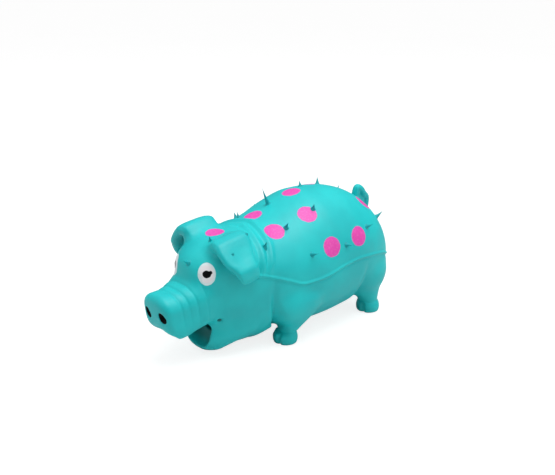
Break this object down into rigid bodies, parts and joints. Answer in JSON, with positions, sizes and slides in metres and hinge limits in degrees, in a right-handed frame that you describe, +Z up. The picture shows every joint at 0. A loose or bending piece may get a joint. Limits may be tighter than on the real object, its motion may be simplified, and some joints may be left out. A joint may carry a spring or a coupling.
{
  "type": "squeaky pig dog toy",
  "caption": "Hollow latex pig chew toy with a fibre filling and a reed voice unit in the throat; the back presses in and the ears and tail flex.",
  "frame": {"origin": "middle of the toy's length and width, on the ground plane under the hooves", "axes": "the pig faces -Y, its left side is +X, +Z is up"},
  "size_m": [0.1004, 0.2184, 0.1074],
  "materials": {
    "latex": "satin moulded latex, turquoise with painted pink spots, white eyes and black pupils and nostrils",
    "fibre": "loose white polyester fibre",
    "black_plastic": "moulded, matt",
    "brass": "thin rolled strip"
  },
  "bodies": {
    "body": {"head_skin": "latex", "belly_skin": "latex", "snout_skin": "latex", "lower_jaw": "latex", "leg_front_left": "latex", "leg_front_right": "latex", "leg_rear_left": "latex", "leg_rear_right": "latex", "body_filling": "fibre", "head_filling": "fibre", "snout_filling": "fibre", "voice_barrel": "black_plastic", "voice_front_guard": "black_plastic", "voice_tone_board": "black_plastic", "voice_reed_wedge": "black_plastic", "voice_rear_strainer": "black_plastic"},
    "back": {"back_skin": "latex"},
    "left_ear": {"ear_left": "latex"},
    "right_ear": {"ear_right": "latex"},
    "tail_curl": {"tail": "latex"},
    "reed": {"voice_reed": "brass"}
  },
  "joints": [
    {"name": "squeeze", "type": "slide", "parent": "body", "child": "back", "axis": [0, 0, -1], "range_m": [0, 0.008], "stiffness_N_per_m": 1200, "springref_m": -0.001, "deforming": ["belly_skin", "body_filling"]},
    {"name": "left_ear_flex", "type": "hinge", "parent": "body", "child": "left_ear", "pos_m": [0.012, -0.057, 0.0844], "axis": [0, 1, 0], "range_deg": [-30, 6], "stiffness_Nm_per_rad": 0.06, "springref_deg": -0.8},
    {"name": "right_ear_flex", "type": "hinge", "parent": "body", "child": "right_ear", "pos_m": [-0.012, -0.052, 0.0844], "axis": [0, -1, 0], "range_deg": [-30, 6], "stiffness_Nm_per_rad": 0.06, "springref_deg": -0.74},
    {"name": "tail_flex", "type": "hinge", "parent": "back", "child": "tail_curl", "pos_m": [0, 0.0863, 0.0788], "axis": [1, 0, 0], "range_deg": [-10, 10], "stiffness_Nm_per_rad": 0.01, "springref_deg": 0.34},
    {"name": "reed_vibration", "type": "hinge", "parent": "body", "child": "reed", "pos_m": [0, -0.0395, 0.02265], "axis": [-1, 0, 0], "range_deg": [0, 2.5], "stiffness_Nm_per_rad": 0.0004}
  ]
}
